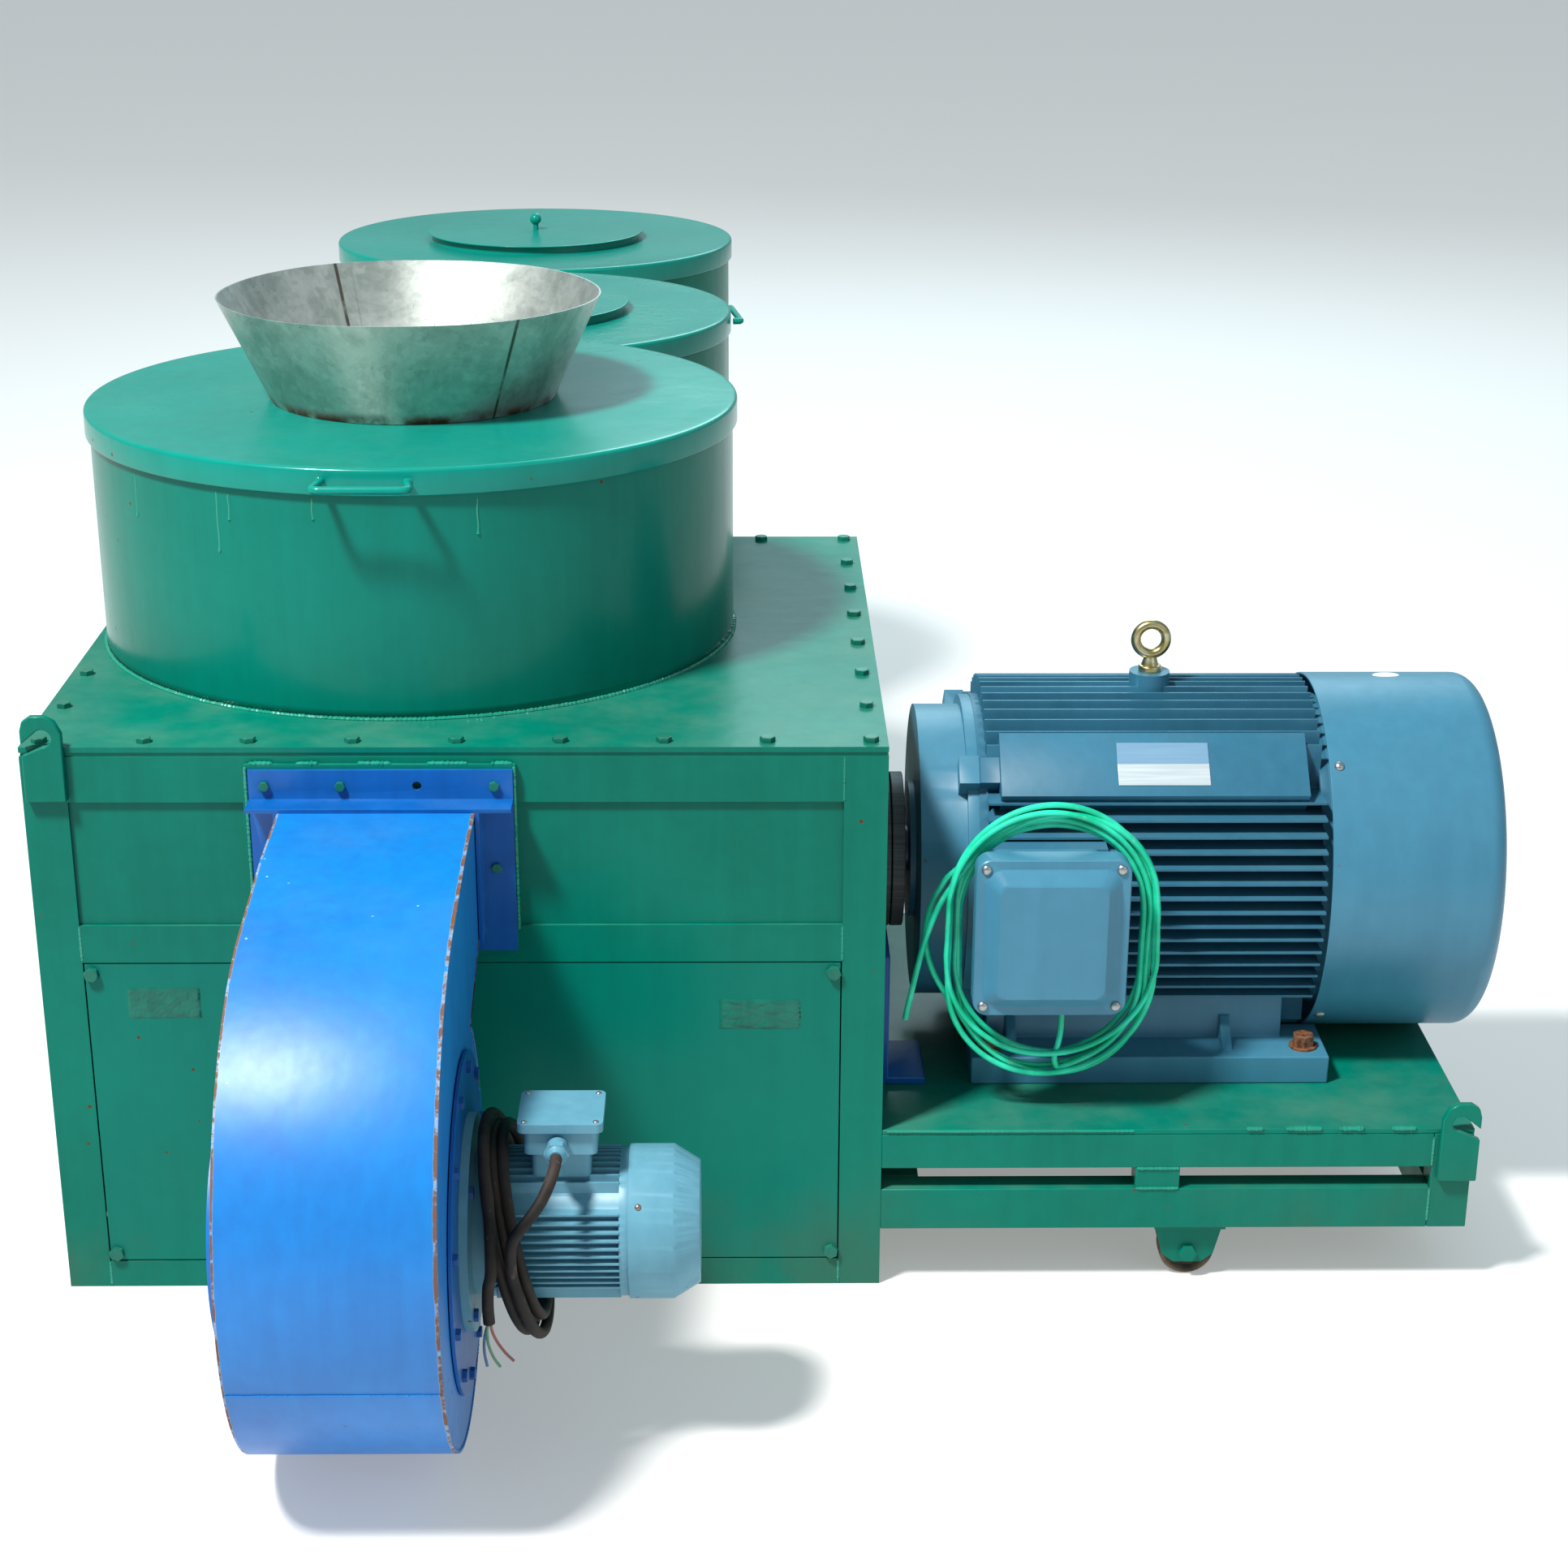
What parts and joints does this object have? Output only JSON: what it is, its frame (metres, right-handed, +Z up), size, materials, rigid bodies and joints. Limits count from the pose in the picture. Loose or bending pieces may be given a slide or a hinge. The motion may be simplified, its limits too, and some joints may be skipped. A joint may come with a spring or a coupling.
{
  "type": "hammer mill",
  "caption": "Hammer mill with a lidded feed drum and cone, settling drums in line behind it, a coupled drive motor on a side bed and a blower bolted to its face.",
  "frame": {"origin": "centre of the mill housing's footprint, on the floor", "axes": "+Z up, +X from the mill to the drive motor, -Y towards the blower"},
  "size_m": [2.215, 3.6314, 1.422],
  "materials": {
    "green_enamel": "gloss enamel",
    "painted_tape": "crumpled tape painted over",
    "mild_steel": "machined",
    "cast_bearing": "dark cast",
    "motor_enamel": "satin enamel",
    "rusty_bolt": "rusted",
    "yellow_zinc": "yellow zinc plate",
    "plate_aluminium": "blank plate",
    "wheel_rubber": "solid wheel",
    "blue_enamel": "gloss enamel",
    "galvanised_sheet": "stained galvanised sheet",
    "green_wire": "PVC insulation",
    "black_cable": "dusty rubber sheath"
  },
  "bodies": {
    "housing": {"housing_frame": "green_enamel", "housing_sheets": "green_enamel", "service_door": "green_enamel", "tape_patches": "painted_tape", "top_plate": "green_enamel", "housing_bolts": "green_enamel", "blower_mount_plate": "green_enamel", "lifting_hooks": "green_enamel", "mill_chamber": "mild_steel", "screen": "mild_steel", "bearing_frame": "green_enamel", "bearing_blocks": "cast_bearing", "motor_frame": "motor_enamel", "motor_stator": "mild_steel", "end_shields": "motor_enamel", "motor_feet": "motor_enamel", "foot_bolts": "rusty_bolt", "fan_cover": "motor_enamel", "motor_screws": "mild_steel", "terminal_box": "motor_enamel", "terminal_box_cover": "motor_enamel", "eye_bolt": "yellow_zinc", "nameplate": "plate_aluminium", "bed_frame": "green_enamel", "bed_plate": "green_enamel", "castor_forks": "green_enamel", "bed_bracket": "blue_enamel", "blower_casing": "blue_enamel", "blower_side_cover": "blue_enamel", "blower_cover_bolts": "blue_enamel", "outlet_flange": "blue_enamel", "blower_motor": "motor_enamel", "blower_fan_cover": "motor_enamel", "blower_terminal_box": "motor_enamel", "front_drum": "green_enamel", "rear_drums": "green_enamel", "rear_stand": "green_enamel", "green_wire_coil": "green_wire", "green_wire_ends": "green_wire", "black_cable_coil": "black_cable", "black_cable_lead": "black_cable", "black_cable_tail": "black_cable"},
    "rotor": {"rotor_shaft": "mild_steel", "rotor_discs": "mild_steel", "hammer_pins": "mild_steel", "coupling": "cast_bearing", "motor_rotor": "mild_steel"},
    "hammers_a": {"hammers_a": "mild_steel"},
    "hammers_b": {"hammers_b": "mild_steel"},
    "hammers_c": {"hammers_c": "mild_steel"},
    "blower_rotor": {"impeller": "blue_enamel"},
    "castor_front": {"castor_wheel_front": "wheel_rubber"},
    "castor_rear": {"castor_wheel_rear": "wheel_rubber"},
    "front_lid": {"front_lid": "green_enamel", "feed_hopper": "galvanised_sheet", "front_handle": "green_enamel"},
    "middle_lid": {"middle_lid": "green_enamel"},
    "rear_lid": {"rear_lid": "green_enamel"},
    "middle_cover": {"middle_cover": "green_enamel"},
    "rear_cover": {"rear_cover": "green_enamel"}
  },
  "joints": [
    {"name": "mill_rotor_spin", "type": "hinge", "parent": "housing", "child": "rotor", "pos_m": [0, -0.155, 0.556], "axis": [1, 0, 0], "continuous": true},
    {"name": "hammers_a_swing", "type": "hinge", "parent": "rotor", "child": "hammers_a", "pos_m": [-0.108, -0.155, 0.706], "axis": [1, 0, 0], "continuous": true},
    {"name": "hammers_b_swing", "type": "hinge", "parent": "rotor", "child": "hammers_b", "pos_m": [-0.108, -0.2849, 0.481], "axis": [1, 0, 0], "continuous": true},
    {"name": "hammers_c_swing", "type": "hinge", "parent": "rotor", "child": "hammers_c", "pos_m": [-0.108, -0.0251, 0.481], "axis": [1, 0, 0], "continuous": true},
    {"name": "blower_spin", "type": "hinge", "parent": "housing", "child": "blower_rotor", "pos_m": [0, -0.99, 0.329], "axis": [1, 0, 0], "continuous": true},
    {"name": "castor_front_roll", "type": "hinge", "parent": "housing", "child": "castor_front", "pos_m": [1.105, -0.545, 0.043], "axis": [0, 1, 0], "continuous": true},
    {"name": "castor_rear_roll", "type": "hinge", "parent": "housing", "child": "castor_rear", "pos_m": [1.105, 0.235, 0.043], "axis": [0, 1, 0], "continuous": true},
    {"name": "front_lid_lift", "type": "slide", "parent": "housing", "child": "front_lid", "axis": [0, 0, 1], "range_m": [0, 0.3]},
    {"name": "middle_lid_lift", "type": "slide", "parent": "housing", "child": "middle_lid", "axis": [0, 0, 1], "range_m": [0, 0.3]},
    {"name": "rear_lid_lift", "type": "slide", "parent": "housing", "child": "rear_lid", "axis": [0, 0, 1], "range_m": [0, 0.3]},
    {"name": "middle_cover_lift", "type": "slide", "parent": "middle_lid", "child": "middle_cover", "axis": [0, 0, 1], "range_m": [0, 0.15]},
    {"name": "rear_cover_lift", "type": "slide", "parent": "rear_lid", "child": "rear_cover", "axis": [0, 0, 1], "range_m": [0, 0.15]}
  ]
}
